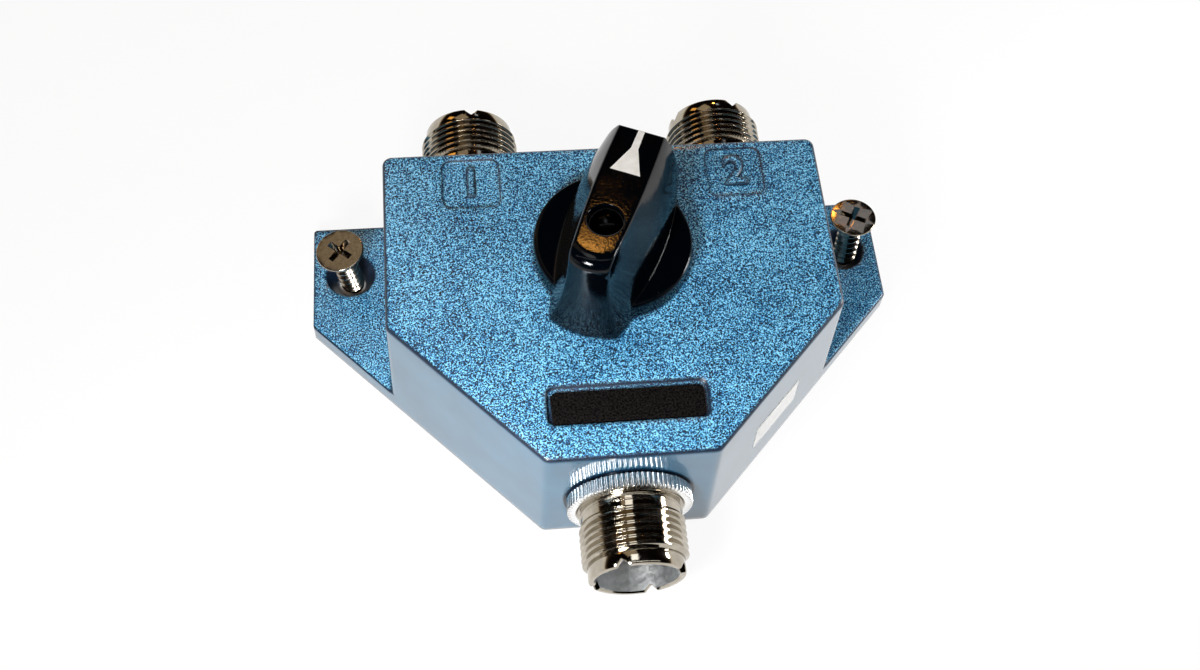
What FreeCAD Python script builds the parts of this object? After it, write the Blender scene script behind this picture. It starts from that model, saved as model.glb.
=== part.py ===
"""Two-way coaxial antenna switch in a die-cast case, as separate pieces.

Frame: origin on the flat underside, below the knob's axis.  +Z is up, +X to
the right and +Y towards the two rear ports; the common port faces -Y.
All sizes are millimetres.  The knob points at port 2, the right-hand one.
"""
import FreeCAD
import Part
import math
import os
from FreeCAD import Vector

# ---- case: one casting whose outline is given at its top face ----
body_height = 24.8
body_half_width = 34.4
rear_face_y = 19.45
side_corner_y = -11.2
front_face_y = -34.0
front_half_width = 12.45
draft_deg = 2.1
wall = 3.0
top_wall = 3.0
corner_radius = 1.5
top_edge_radius = 0.8
flange_half_span = 47.65
flange_thickness = 3.5
flange_corner_radius = 0.6
flange_setback = 0.25

# ---- mounting holes in the two flanges ----
mount_hole_outset = 0.2
mount_hole_y = 10.9
mount_hole_d = 4.3
mount_land = 0.4
countersink_d = 8.2

# ---- marks sunk in the top face ----
port_mark_y = 13.6
port_mark_side = 9.0
port_mark_radius = 1.5
port_mark_depth = 0.35
label_y = -25.5
label_length = 23.7
label_width = 6.2
label_radius = 1.2
label_depth = 0.6
label_plate_length = 22.3
label_plate_width = 5.0
label_plate_radius = 0.85
label_plate_t = 0.45
label_plate_shift = 0.35
side_label_length = 11.0
side_label_height = 6.4
side_label_t = 0.1
side_label_z = 10.7
side_label_from_corner = 15.5

# ---- bottom cover and its screws ----
cover_thickness = 1.5
cover_ledge = 1.6
cover_gap = 0.1
boss_radius = 3.2
boss_bite = 1.0
rear_boss_setback = 9.5
front_boss_offset = 4.5
cover_screw_d = 3.0
cover_screw_head_d = 5.6
cover_screw_length = 9.0

# ---- ports: threaded shells on horizontal axes ----
port_z = 11.0
port_x = 20.8
thread_d = 15.875
thread_length = 6.4
relief_d = 15.0
relief_length = 2.1
nose_d = 14.4
nose_length = 2.3
nose_chamfer = 0.3
shell_bore_d = 12.4
shell_lip_d = 10.0
shell_lip = 1.0
notch_width = 2.2
notch_depth = 1.15
ring_d = 18.8
ring_thickness = 2.2
ring_teeth = 60
ring_tooth_depth = 0.3
lock_washer_d = 17.4
lock_washer_t = 0.4
spotface_margin = 0.4
insulator_t = 4.6
socket_d = 5.8
socket_bore_d = 4.0
socket_bore_depth = 5.0
socket_length = 5.6
socket_slot = 0.4
socket_slot_depth = 3.6
pin_d = 4.0
tail_d = 3.2
tail_length = 6.5
tail_slot_depth = 4.5
port_notch_deg = {"port_1": 5.0, "port_2": 25.0, "common": 22.0}

# ---- knob turn ----
throw_deg = 45.0
pointer_deg = 90.0 - throw_deg / 2

# ---- contact set ----
blade_t = 0.6
blade_disc_r = 7.5
blade_arm_r = 12.0
blade_arm_width = 4.0
leaf_t = 0.35
leaf_width = 4.0
leaf_reach = 3.2
leaf_grip = 2.1
strip_width = 4.0
strip_in_slot = 3.5
rivet_d = 1.6
rivet_head_d = 3.0
rivet_head_t = 0.5

# ---- shaft and bearing ----
shaft_d = 6.0
shaft_in_knob = 12.2
flat_depth = 0.7
bushing_d = 10.0
bushing_flange_d = 14.0
bushing_flange_t = 1.5
bushing_above = 2.2
nut_across_flats = 14.0
nut_t = 1.6
washer_d = 15.0
washer_t = 0.4
circlip_d = 9.0
circlip_groove_d = 5.0
circlip_t = 0.7
circlip_mouth = 3.4

# ---- detent wheel, its spring and the stop ----
wheel_r = 8.0
wheel_t = 2.4
nose_r = 1.0
spring_t = 0.4
spring_height = 2.4
spring_gap = 0.6
spring_half_length = 13.5
post_size = 4.0
post_screw_d = 2.0
post_screw_head_d = 3.8
post_screw_head_t = 0.8
post_screw_length = 3.2
stop_pin_d = 2.0
stop_pin_r = 7.0
stop_pin_press = 1.5

# ---- rotor that carries the contact blade ----
hub_r = 4.8
hub_web = 1.5
keeper_t = 1.0
rotor_pin_d = 1.0
blade_screw_d = 1.6
blade_screw_head_d = 3.0
blade_screw_head_t = 0.8
blade_screw_pitch = 5.4
blade_screw_bite = 1.2

# ---- knob: bar on a round skirt; heights are above the top face ----
skirt_gap = 0.5
skirt_r = 12.1
skirt_top_r = 11.95
skirt_bevel_z = 1.3
skirt_top_z = 3.3
skirt_land = 0.7
skirt_dish = 0.4
skirt_edge_radius = 0.5
knob_tail_top_z = 19.0
knob_tip_top_z = 14.5
tail_top = (-13.7, 3.0)
tail_foot = (-14.5, 5.2)
tail_bulge = 0.9
tip_top = (12.6, 3.4)
tip_foot = (13.1, 6.5)
tail_waist = (-14.3, 3.7)
tip_waist = (13.0, 6.1)
waist_height = 7.0
flank_top_bulge = 3.5
flank_waist_bulge = 7.1
flank_foot_bulge = 7.9
knob_edge_radius = 0.5
knob_tail_edge_radius = 2.0
knob_hollow_margin = 0.7
mark_base_u = 3.5
mark_base_half = 2.25
mark_neck_u = 8.6
mark_neck_half = 0.55
mark_tip_half = 0.48
mark_depth = 0.3
knob_screw_u = -6.2
knob_screw_tilt_deg = 17.0
knob_screw_hole_d = 5.3
knob_screw_hole_depth = 2.9
knob_screw_head_d = 4.9
knob_screw_head_t = 1.9
knob_screw_d = 3.0
knob_screw_length = 7.8

# ---- mounting screws, standing loose in the flange holes ----
screw_length = 13.0
screw_d = 3.9
screw_core_d = 2.9
screw_point = 2.4
screw_head_d = 7.6
screw_head_rim = 0.35
screw_head_cone = 1.9
screw_recess_d = 4.4
screw_recess_arm = 0.9
screw_recess_depth = 1.6
screw_tip_gap = 0.1
left_tip = (0.60, -1.1)
left_lean = (-0.101, -0.010)
right_tip = (0.75, -1.0)
right_lean = (-0.034, 0.089)

# ---- clearances ----
slip = 0.05
running = 0.04
contact_gap = 0.05
stop_gap = 0.1
end_play = 0.1
arm_gap = 0.4

# ---- worked out from the above ----
top_z = body_height
ceiling_z = body_height - top_wall
draft = math.tan(math.radians(draft_deg))
flange_root_x = body_half_width + (top_z - flange_thickness) * draft
mount_hole_x = (flange_root_x + flange_half_span) / 2 + mount_hole_outset
strip_t = blade_t + 2 * contact_gap
ring_top_z = port_z + ring_d / 2
seat_setback = (top_z - ring_top_z) * draft
rear_seat_y = rear_face_y + seat_setback
front_seat_y = front_face_y - seat_setback
ring_front = lock_washer_t + ring_thickness
nose_end = ring_front + relief_length + thread_length + nose_length
shell_inner = -wall
insulator_rear = shell_inner + shell_lip
insulator_front = insulator_rear + insulator_t
tail_end = insulator_rear - tail_length
bushing_bottom_z = ceiling_z - bushing_flange_t
circlip_z = bushing_bottom_z - end_play - circlip_t
wheel_z = circlip_z - end_play - wheel_t
hub_top_z = wheel_z - end_play
hub_bottom_z = port_z + blade_t / 2
shaft_bottom_z = hub_bottom_z + hub_web + slip
EPS = 0.02


def cylinder(radius, z_low, z_high, x=0.0, y=0.0):
    return Part.makeCylinder(radius, z_high - z_low, Vector(x, y, z_low))


def ring(outer_r, inner_r, z_low, z_high):
    return cylinder(outer_r, z_low, z_high).cut(cylinder(inner_r, z_low - 1, z_high + 1))


def box(x_low, x_high, y_low, y_high, z_low, z_high):
    return Part.makeBox(
        x_high - x_low, y_high - y_low, z_high - z_low, Vector(x_low, y_low, z_low)
    )


def prism(points, z_low, z_high):
    """Straight-sided solid on a polygon of (x, y) points."""
    corners = [Vector(x, y, z_low) for x, y in points]
    wire = Part.makePolygon(corners + corners[:1])
    return Part.Face(wire).extrude(Vector(0, 0, z_high - z_low))


def rounded_block(length, width, radius, z_low, z_high):
    """Block centred on the Z axis with round upright corners."""
    block = box(-length / 2, length / 2, -width / 2, width / 2, z_low, z_high)
    upright = [e for e in block.Edges if abs(e.BoundBox.ZLength - (z_high - z_low)) < 1e-6]
    return block.makeFillet(radius, upright)


def revolve(profile):
    """Solid turned about Z from (radius, z) points."""
    corners = [Vector(r, 0, z) for r, z in profile]
    face = Part.Face(Part.makePolygon(corners + corners[:1]))
    return face.revolve(Vector(0, 0, 0), Vector(0, 0, 1), 360)


def moved(shape, x=0.0, y=0.0, z=0.0):
    copy = shape.copy()
    copy.translate(Vector(x, y, z))
    return copy


def turned(shape, degrees, axis=Vector(0, 0, 1)):
    copy = shape.copy()
    copy.rotate(Vector(0, 0, 0), axis, degrees)
    return copy


def fuse(shapes):
    joined = shapes[0]
    for shape in shapes[1:]:
        joined = joined.fuse(shape)
    return joined.removeSplitter()


def cut(shape, tools):
    for tool in tools:
        shape = shape.cut(tool)
    return shape


def save(node, shapes):
    """Writes one node; a group of like pieces becomes a compound of solids."""
    shape = shapes if isinstance(shapes, Part.Shape) else Part.makeCompound(shapes)
    for solid in shape.Solids:
        if not solid.isValid() or solid.Volume < 1e-6:
            raise ValueError(node + " has a bad solid")
    if len(shape.Solids) == 1:
        shape = shape.Solids[0]
    shape.exportStep("parts/" + node + ".step")


# ---- case ----
def diagonal(inset, z):
    """Right-hand diagonal face at height z, as (nx, ny, distance), moved inwards by inset."""
    dx = body_half_width - front_half_width
    dy = side_corner_y - front_face_y
    length = math.hypot(dx, dy)
    nx, ny = dy / length, -dx / length
    grow = (top_z - z) * draft - inset
    return nx, ny, nx * body_half_width + ny * side_corner_y + grow


def outline(half_width, z, inset=0.0, side_top=top_z):
    """Case outline at height z; half_width is that of the side faces at side_top."""
    grow = (top_z - z) * draft - inset
    nx, ny, distance = diagonal(inset, z)
    side = half_width + (side_top - z) * draft - inset
    front = front_face_y - grow
    corners = [
        (side, rear_face_y + grow),
        (side, (distance - nx * side) / ny),
        ((distance - ny * front) / nx, front),
    ]
    return corners + [(-x, y) for x, y in reversed(corners)]


def tapered(half_width, z_low, z_high, inset=0.0, side_top=top_z):
    """Drafted block between two heights on the case outline."""
    wires = []
    for z in (z_low, z_high):
        corners = [Vector(x, y, z) for x, y in outline(half_width, z, inset, side_top)]
        wires.append(Part.makePolygon(corners + corners[:1]))
    return Part.makeLoft(wires, True, True)


def rounded(shape, radius, keep_edge):
    """Fillets each edge that keep_edge accepts."""
    edges = [e for e in shape.Edges if keep_edge(e)]
    return shape.makeFillet(radius, edges)


def is_upright(edge):
    return edge.BoundBox.ZLength > 0.98 * edge.Length


def is_front_corner(edge):
    return is_upright(edge) and edge.BoundBox.YMax < side_corner_y and edge.BoundBox.YMin < label_y


def boss_centres():
    """Four screw bosses that grow out of the case's inner walls."""
    reach = wall + boss_radius - boss_bite
    rear = (body_half_width - reach, rear_face_y - rear_boss_setback)
    nx, ny, distance = diagonal(reach, top_z)
    front_x = front_half_width + front_boss_offset
    front = (front_x, (distance - nx * front_x) / ny)
    return [(sign * x, y) for x, y in (rear, front) for sign in (-1, 1)]


def post_x():
    return spring_half_length - post_size / 2


def spring_back_y():
    return -(wheel_r + spring_gap + spring_t)


def port_seats():
    """Each port's name, seat centre and turn about Z from facing +Y."""
    return [
        ("port_1", -port_x, rear_seat_y, 0.0),
        ("port_2", port_x, rear_seat_y, 0.0),
        ("common", 0.0, front_seat_y, 180.0),
    ]


def at_port(shape, x, y, turn):
    """Takes a piece built along +Z from the seat to its place at a port."""
    facing = turned(turned(shape, -90, Vector(1, 0, 0)), turn)
    return moved(facing, x, y, port_z)


def make_flanges():
    """Both flanges as one plate on the case outline, a little short of the rear face."""
    plate = tapered(flange_half_span, 0, flange_thickness, 0.0, flange_thickness)
    rear_y = rear_face_y + (top_z - flange_thickness) * draft - flange_setback
    span = flange_half_span + 1
    plate = plate.cut(box(-span, span, rear_y, rear_y + span, -1, flange_thickness + 1))

    def is_outer(edge):
        return abs(edge.BoundBox.Center.x) > flange_root_x

    plate = rounded(plate, flange_corner_radius, lambda e: is_upright(e) and is_outer(e))
    return rounded(plate, corner_radius, is_front_corner)


def make_housing():
    body = rounded(tapered(body_half_width, 0, top_z), corner_radius, is_upright)
    body = rounded(body, top_edge_radius, lambda e: e.BoundBox.ZMin > top_z - 1e-4)
    case = body.fuse(make_flanges())
    cavity = tapered(body_half_width, -1, ceiling_z, wall)
    ledge = tapered(body_half_width, -1, cover_thickness, wall - cover_ledge)
    case = case.cut(cavity)
    bosses = [
        cylinder(boss_radius, cover_thickness, top_z - top_wall / 2, x, y)
        for x, y in boss_centres()
    ]
    posts = [
        box(
            sign * post_x() - post_size / 2,
            sign * post_x() + post_size / 2,
            spring_back_y() - post_size,
            spring_back_y(),
            wheel_z + (wheel_t - spring_height) / 2,
            ceiling_z + top_wall / 2,
        )
        for sign in (-1, 1)
    ]
    case = fuse([case] + bosses + posts).cut(ledge)
    tools = []
    for x, y in boss_centres():
        tools.append(
            cylinder(cover_screw_d / 2, -1, cover_screw_length + slip, x, y)
        )
    for sign in (-1, 1):
        hole = Part.makeCylinder(
            post_screw_d / 2,
            post_screw_length - spring_t + slip,
            Vector(sign * post_x(), spring_back_y(), wheel_z + wheel_t / 2),
            Vector(0, -1, 0),
        )
        tools.append(hole)
        tools.append(mount_hole(sign))
        mark = rounded_block(
            port_mark_side, port_mark_side, port_mark_radius, top_z - port_mark_depth, top_z + 1
        )
        tools.append(moved(mark, sign * port_x, port_mark_y))
    for name, x, y, turn in port_seats():
        bore = cylinder(thread_d / 2 + slip, 2 * shell_inner, ring_front)
        spotface = cylinder(ring_d / 2 + spotface_margin, 0, ring_front)
        tools.append(at_port(bore.fuse(spotface), x, y, turn))
    label = rounded_block(label_length, label_width, label_radius, top_z - label_depth, top_z + 1)
    tools.append(moved(label, 0, label_y))
    tools.append(cylinder(bushing_d / 2 + slip, ceiling_z - 1, top_z + 1))
    pin_hole = cylinder(stop_pin_d / 2, ceiling_z - 1, ceiling_z + stop_pin_press, 0, stop_pin_r)
    tools.append(pin_hole)
    return cut(case, tools)


def mount_hole(sign):
    cone_top_r = countersink_d / 2
    profile = [
        (0, -1),
        (mount_hole_d / 2, -1),
        (mount_hole_d / 2, mount_land),
        (cone_top_r, flange_thickness),
        (cone_top_r, flange_thickness + 1),
        (0, flange_thickness + 1),
    ]
    return moved(revolve(profile), sign * mount_hole_x, mount_hole_y)


def make_bottom_cover():
    inset = wall - cover_ledge + cover_gap
    cover = tapered(body_half_width, 0, cover_thickness, inset)
    cone_depth = (cover_screw_head_d - cover_screw_d) / 2
    tools = []
    for x, y in boss_centres():
        profile = [
            (0, -1),
            (cover_screw_head_d / 2 + slip, -1),
            (cover_screw_head_d / 2 + slip, 0),
            (cover_screw_d / 2 + slip, cone_depth),
            (cover_screw_d / 2 + slip, cover_thickness + 1),
            (0, cover_thickness + 1),
        ]
        tools.append(moved(revolve(profile), x, y))
    return cut(cover, tools)


def make_cover_screw(x, y):
    """Countersunk screw with its head flush with the underside."""
    head_r = cover_screw_head_d / 2
    shank_r = cover_screw_d / 2 - slip
    profile = [
        (0, 0),
        (head_r, 0),
        (shank_r, head_r - shank_r),
        (shank_r, cover_screw_length),
        (0, cover_screw_length),
    ]
    arm = cover_screw_d / 5
    recess = box(-arm * 2.4, arm * 2.4, -arm / 2, arm / 2, -1, head_r / 2)
    return moved(cut(revolve(profile), [recess, turned(recess, 90)]), x, y)


# ---- ports ----
def make_shell(notch_deg):
    """Nickelled shell: inner lip, jam thread, relief, plug thread and notched nose."""
    thread_r = thread_d / 2
    thread_start = ring_front + relief_length
    profile = [
        (shell_lip_d / 2, shell_inner),
        (thread_r, shell_inner),
        (thread_r, ring_front),
        (relief_d / 2, ring_front),
        (relief_d / 2, thread_start),
        (thread_r, thread_start),
        (thread_r, thread_start + thread_length),
        (nose_d / 2, thread_start + thread_length),
        (nose_d / 2, nose_end - nose_chamfer),
        (nose_d / 2 - nose_chamfer, nose_end),
        (shell_bore_d / 2, nose_end),
        (shell_bore_d / 2, insulator_rear),
        (shell_lip_d / 2, insulator_rear),
    ]
    half = notch_width / 2
    notch = prism(
        [(-half, 0), (0, -notch_depth), (half, 0), (half, 1), (-half, 1)], 0, nose_d
    )
    notch = moved(turned(notch, 90, Vector(1, 0, 0)), 0, 0, nose_end)
    notches = [turned(notch, notch_deg + 90 * k) for k in range(4)]
    return cut(revolve(profile), notches)


def make_lock_ring():
    """Jam nut with straight knurling."""
    points = []
    for k in range(2 * ring_teeth):
        angle = math.pi * k / ring_teeth
        radius = ring_d / 2 - (k % 2) * ring_tooth_depth
        points.append((radius * math.cos(angle), radius * math.sin(angle)))
    blank = prism(points, lock_washer_t, ring_front)
    return blank.cut(cylinder(thread_d / 2 + slip, 0, ring_front + 1))


def make_lock_washer():
    return ring(lock_washer_d / 2, thread_d / 2 + slip, 0, lock_washer_t)


def make_insulator():
    return ring(shell_bore_d / 2 - slip, pin_d / 2 + slip, insulator_rear, insulator_front)


def make_contact():
    """Female centre contact: slotted socket, pin through the insulator, slotted tail."""
    socket_end = insulator_front + socket_length
    profile = [
        (0, tail_end),
        (tail_d / 2, tail_end),
        (tail_d / 2, insulator_rear),
        (pin_d / 2, insulator_rear),
        (pin_d / 2, insulator_front),
        (socket_d / 2, insulator_front),
        (socket_d / 2, socket_end),
        (socket_bore_d / 2, socket_end),
        (socket_bore_d / 2, socket_end - socket_bore_depth),
        (0, socket_end - socket_bore_depth),
    ]
    slit = box(
        -socket_d, socket_d, -socket_slot / 2, socket_slot / 2,
        socket_end - socket_slot_depth, socket_end + 1,
    )
    half_slot = strip_t / 2 + slip
    tail_slot = box(-tail_d, tail_d, -half_slot, half_slot, tail_end - 1, tail_end + tail_slot_depth)
    return cut(revolve(profile), [slit, turned(slit, 90), tail_slot])


# ---- contact set ----
def contact_layer(shape_points, thickness, z_middle):
    return prism(shape_points, z_middle - thickness / 2, z_middle + thickness / 2)


def bar(r_low, r_high, width, thickness, z_middle, degrees):
    """Flat bar that points away from the shaft in the given direction."""
    half = width / 2
    points = [(r_low, -half), (r_high, -half), (r_high, half), (r_low, half)]
    return turned(contact_layer(points, thickness, z_middle), degrees)


def clip_radii(rim_r, grip):
    """Where a clip's leaves start, where the strip starts, and the leaves' end."""
    strip_r = rim_r + arm_gap
    return rim_r - grip, strip_r, strip_r + leaf_reach


def rivet_hole(radius, rim_r, degrees):
    _, strip_r, end_r = clip_radii(rim_r, leaf_grip)
    middle = (strip_r + end_r) / 2
    return turned(cylinder(radius, port_z - 3, port_z + 3, middle), degrees)


def make_leaves(rim_r, degrees):
    start_r, _, end_r = clip_radii(rim_r, leaf_grip)
    lift = (strip_t + leaf_t) / 2
    hole = rivet_hole(rivet_d / 2 + slip, rim_r, degrees)
    return [
        bar(start_r, end_r, leaf_width, leaf_t, port_z + side * lift, degrees).cut(hole)
        for side in (-1, 1)
    ]


def make_rivet(rim_r, degrees):
    stack = strip_t / 2 + leaf_t
    _, strip_r, end_r = clip_radii(rim_r, leaf_grip)
    shank = cylinder(rivet_d / 2, port_z - stack, port_z + stack)
    heads = [
        cylinder(rivet_head_d / 2, port_z + stack, port_z + stack + rivet_head_t),
        cylinder(rivet_head_d / 2, port_z - stack - rivet_head_t, port_z - stack),
    ]
    return turned(moved(fuse([shank] + heads), (strip_r + end_r) / 2), degrees)


def make_port_strip(sign):
    """Brass strip from a rear port's contact tail to its clip beside the rotor."""
    direction = 90.0 - sign * throw_deg / 2
    _, strip_r, end_r = clip_radii(blade_arm_r, leaf_grip)
    clip_end = bar(strip_r, end_r, strip_width, strip_t, port_z, direction)
    tail_y = rear_seat_y + tail_end
    run_low, run_high = tail_y, tail_y + strip_in_slot
    inner_x = strip_r * math.sin(math.radians(throw_deg / 2))
    outer_x = port_x + strip_width / 2
    points = [(inner_x, run_low), (outer_x, run_low), (outer_x, run_high), (inner_x, run_high)]
    run = contact_layer([(sign * x, y) for x, y in points], strip_t, port_z)
    swing = cylinder(strip_r, port_z - 2, port_z + 2)
    hole = rivet_hole(rivet_d / 2 + slip, blade_arm_r, direction)
    return fuse([clip_end, run.cut(swing)]).cut(hole)


def make_common_strip():
    _, strip_r, _ = clip_radii(blade_disc_r, leaf_grip)
    far_r = -(front_seat_y - tail_end) + strip_in_slot
    strip = bar(strip_r, far_r, strip_width, strip_t, port_z, -90)
    return strip.cut(rivet_hole(rivet_d / 2 + slip, blade_disc_r, -90))


def blade_screw_holes(radius, z_low, z_high):
    half = blade_screw_pitch / 2
    return [cylinder(radius, z_low, z_high, 0, side * half) for side in (-1, 1)]


def make_contact_blade():
    """Disc that stays in the common clip, with an arm for the chosen port."""
    z_low, z_high = port_z - blade_t / 2, port_z + blade_t / 2
    arm = bar(0, blade_arm_r, blade_arm_width, blade_t, port_z, 0)
    blade = fuse([cylinder(blade_disc_r, z_low, z_high), arm])
    return cut(blade, blade_screw_holes(blade_screw_d / 2 + slip, z_low - 1, z_high + 1))


def make_keeper():
    z_high = port_z - blade_t / 2
    z_low = z_high - keeper_t
    keeper = cylinder(hub_r, z_low, z_high)
    return cut(keeper, blade_screw_holes(blade_screw_d / 2 + slip, z_low - 1, z_high + 1))


def make_blade_screws():
    head_top = port_z - blade_t / 2 - keeper_t
    shank_top = hub_bottom_z + blade_screw_bite
    shanks = blade_screw_holes(blade_screw_d / 2, head_top, shank_top)
    heads = blade_screw_holes(blade_screw_head_d / 2, head_top - blade_screw_head_t, head_top)
    across = blade_screw_head_d
    slit = box(
        -across, across, -blade_screw_d / 8, blade_screw_d / 8,
        -across, -blade_screw_head_t / 2,
    )
    screws = []
    for side, shank, head in zip((-1, 1), shanks, heads):
        groove = moved(slit, 0, side * blade_screw_pitch / 2, head_top)
        screws.append(fuse([shank, head]).cut(groove))
    return screws


# ---- shaft, bearing and detent ----
def d_section(radius, flat, z_low, z_high):
    """Round bar with one flat on its +X side."""
    round_bar = cylinder(radius, z_low, z_high)
    edge = shaft_d / 2 - flat_depth + flat
    return round_bar.cut(box(edge, edge + shaft_d, -shaft_d, shaft_d, z_low - 1, z_high + 1))


def knob_screw_frame():
    """Mouth centre of the knob screw's hole and its direction into the knob."""
    tilt = math.radians(knob_screw_tilt_deg)
    mouth = Vector(knob_screw_u, 0, top_z + knob_top(knob_screw_u))
    return mouth, Vector(math.sin(tilt), 0, -math.cos(tilt))


def along_knob_screw(radius, start, end):
    mouth, into = knob_screw_frame()
    return Part.makeCylinder(radius, end - start, mouth + into * start, into)


def make_shaft():
    top = top_z + shaft_in_knob
    upper = cylinder(shaft_d / 2, circlip_z, top)
    lower = d_section(shaft_d / 2, 0.0, shaft_bottom_z, circlip_z)
    groove = ring(shaft_d, circlip_groove_d / 2, circlip_z, circlip_z + circlip_t + slip)
    seat_end = knob_screw_hole_depth + knob_screw_length + slip
    screw_seat = along_knob_screw(knob_screw_d / 2 + slip, knob_screw_hole_depth, seat_end)
    return cut(fuse([upper, lower]), [groove, screw_seat, rotor_pin_hole(slip)])


def make_circlip():
    """Snap ring with an open mouth, sitting in the shaft's groove."""
    blank = ring(circlip_d / 2, circlip_groove_d / 2 + slip, circlip_z, circlip_z + circlip_t)
    half = circlip_mouth / 2
    return blank.cut(box(-circlip_d, 0, -half, half, circlip_z - 1, circlip_z + 2))


def make_bushing():
    barrel = cylinder(bushing_d / 2, ceiling_z, top_z + bushing_above)
    flange = cylinder(bushing_flange_d / 2, bushing_bottom_z, ceiling_z)
    bore = cylinder(shaft_d / 2 + running, bushing_bottom_z - 1, top_z + bushing_above + 1)
    pin_relief = cylinder(stop_pin_d / 2 + slip, bushing_bottom_z - 1, ceiling_z + 1, 0, stop_pin_r)
    return fuse([barrel, flange]).cut(bore).cut(pin_relief)


def make_bushing_washer():
    return ring(washer_d / 2, bushing_d / 2 + slip, top_z, top_z + washer_t)


def make_bushing_nut():
    corner_r = nut_across_flats / math.sqrt(3)
    points = [
        (corner_r * math.cos(math.radians(60 * k)), corner_r * math.sin(math.radians(60 * k)))
        for k in range(6)
    ]
    low, high = top_z + washer_t, top_z + washer_t + nut_t
    return prism(points, low, high).cut(cylinder(bushing_d / 2 + slip, low - 1, high + 1))


def make_detent_wheel():
    """Two-notch wheel with a curved pocket that meets the stop pin at each end."""
    low, high = wheel_z, wheel_z + wheel_t
    wheel = cylinder(wheel_r, low, high)
    notches = []
    for turn in (0.0, -throw_deg):
        notch = cylinder(nose_r + slip, low - 1, high + 1, 0, -(wheel_r + slip))
        notches.append(turned(notch, turn))
    pocket_r = stop_pin_d / 2 + stop_gap
    end = cylinder(pocket_r, low - 1, high + 1, 0, stop_pin_r)
    inner, outer = stop_pin_r - pocket_r, wheel_r + 1
    arc = Part.makeCylinder(outer, wheel_t + 2, Vector(0, 0, low - 1), Vector(0, 0, 1), throw_deg)
    arc = arc.cut(cylinder(inner, low - 2, high + 2))
    pocket = fuse([turned(arc, 90 - throw_deg), end, turned(end, -throw_deg)])
    mouth = box(-pocket_r, pocket_r, stop_pin_r, outer, low - 1, high + 1)
    bore = turned(d_section(shaft_d / 2 + slip, slip, low - 1, high + 1), pointer_deg)
    return cut(wheel, notches + [pocket, mouth, turned(mouth, -throw_deg), bore])


def make_detent_spring():
    """Flat spring across two posts, with a rounded nose pressed into the wheel."""
    z_middle = wheel_z + wheel_t / 2
    z_low, z_high = z_middle - spring_height / 2, z_middle + spring_height / 2
    back, face = spring_back_y(), spring_back_y() + spring_t
    nose_y = -(wheel_r + slip)
    inner_r = nose_r - spring_t
    strip = box(-spring_half_length, spring_half_length, back, face, z_low, z_high)
    cheeks = box(-nose_r, nose_r, back, nose_y, z_low, z_high)
    crown = cylinder(nose_r, z_low, z_high, 0, nose_y)
    hollow = fuse([
        box(-inner_r, inner_r, back - 1, nose_y, z_low - 1, z_high + 1),
        cylinder(inner_r, z_low - 1, z_high + 1, 0, nose_y),
    ])
    holes = [
        Part.makeCylinder(
            post_screw_d / 2 + slip, 4, Vector(sign * post_x(), back - 1, z_middle), Vector(0, 1, 0)
        )
        for sign in (-1, 1)
    ]
    return cut(fuse([strip, cheeks, crown]), [hollow] + holes)


def make_detent_screws():
    """Pan-head screws that hold the detent spring to its posts."""
    z_middle = wheel_z + wheel_t / 2
    face = spring_back_y() + spring_t
    screws = []
    for sign in (-1, 1):
        seat = Vector(sign * post_x(), face, z_middle)
        head = Part.makeCylinder(post_screw_head_d / 2, post_screw_head_t, seat, Vector(0, 1, 0))
        shank = Part.makeCylinder(
            post_screw_d / 2 - slip, post_screw_length, seat, Vector(0, -1, 0)
        )
        screws.append(fuse([head, shank]))
    return screws


def make_stop_pin():
    return cylinder(
        stop_pin_d / 2, wheel_z, ceiling_z + stop_pin_press, 0, stop_pin_r
    )


def rotor_pin_hole(gap):
    z_middle = (shaft_bottom_z + hub_top_z) / 2
    return Part.makeCylinder(
        rotor_pin_d / 2 + gap, 2 * hub_r + 2, Vector(0, -hub_r - 1, z_middle), Vector(0, 1, 0)
    )


def make_rotor_hub():
    hub = cylinder(hub_r, hub_bottom_z, hub_top_z)
    bore = d_section(shaft_d / 2 + slip, slip, shaft_bottom_z - slip, hub_top_z + 1)
    screw_holes = blade_screw_holes(
        blade_screw_d / 2 + EPS, hub_bottom_z - 1, hub_bottom_z + blade_screw_bite + EPS
    )
    return cut(hub, [bore, rotor_pin_hole(slip)] + screw_holes)


def make_rotor_pin():
    z_middle = (shaft_bottom_z + hub_top_z) / 2
    half = math.sqrt(hub_r ** 2 - (rotor_pin_d / 2) ** 2)
    return Part.makeCylinder(
        rotor_pin_d / 2, 2 * half, Vector(0, -half, z_middle), Vector(0, 1, 0)
    )


# ---- knob ----
def knob_top(u):
    """Height of the knob's sloping top above the case, at u along the pointer."""
    tail_u, tip_u = tail_top[0], tip_top[0]
    share = (u - tail_u) / (tip_u - tail_u)
    return knob_tail_top_z + share * (knob_tip_top_z - knob_tail_top_z)


def knob_wire(tail, tip, bulge, height):
    """Bar outline: bowed flanks, bowed tail end and straight tip, at height(u)."""
    tail_u, tail_half = tail
    tip_u, tip_half = tip
    middle_u = (tail_u + tip_u) / 2

    def point(u, v):
        return Vector(u, v, height(u))

    left = Part.Arc(point(tail_u, tail_half), point(middle_u, bulge), point(tip_u, tip_half))
    right = Part.Arc(point(tip_u, -tip_half), point(middle_u, -bulge), point(tail_u, -tail_half))
    end = Part.Arc(
        point(tail_u, -tail_half), point(tail_u - tail_bulge, 0), point(tail_u, tail_half)
    )
    edges = [
        left.toShape(),
        Part.makeLine(point(tip_u, tip_half), point(tip_u, -tip_half)),
        right.toShape(),
        end.toShape(),
    ]
    return Part.Wire(edges)


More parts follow.
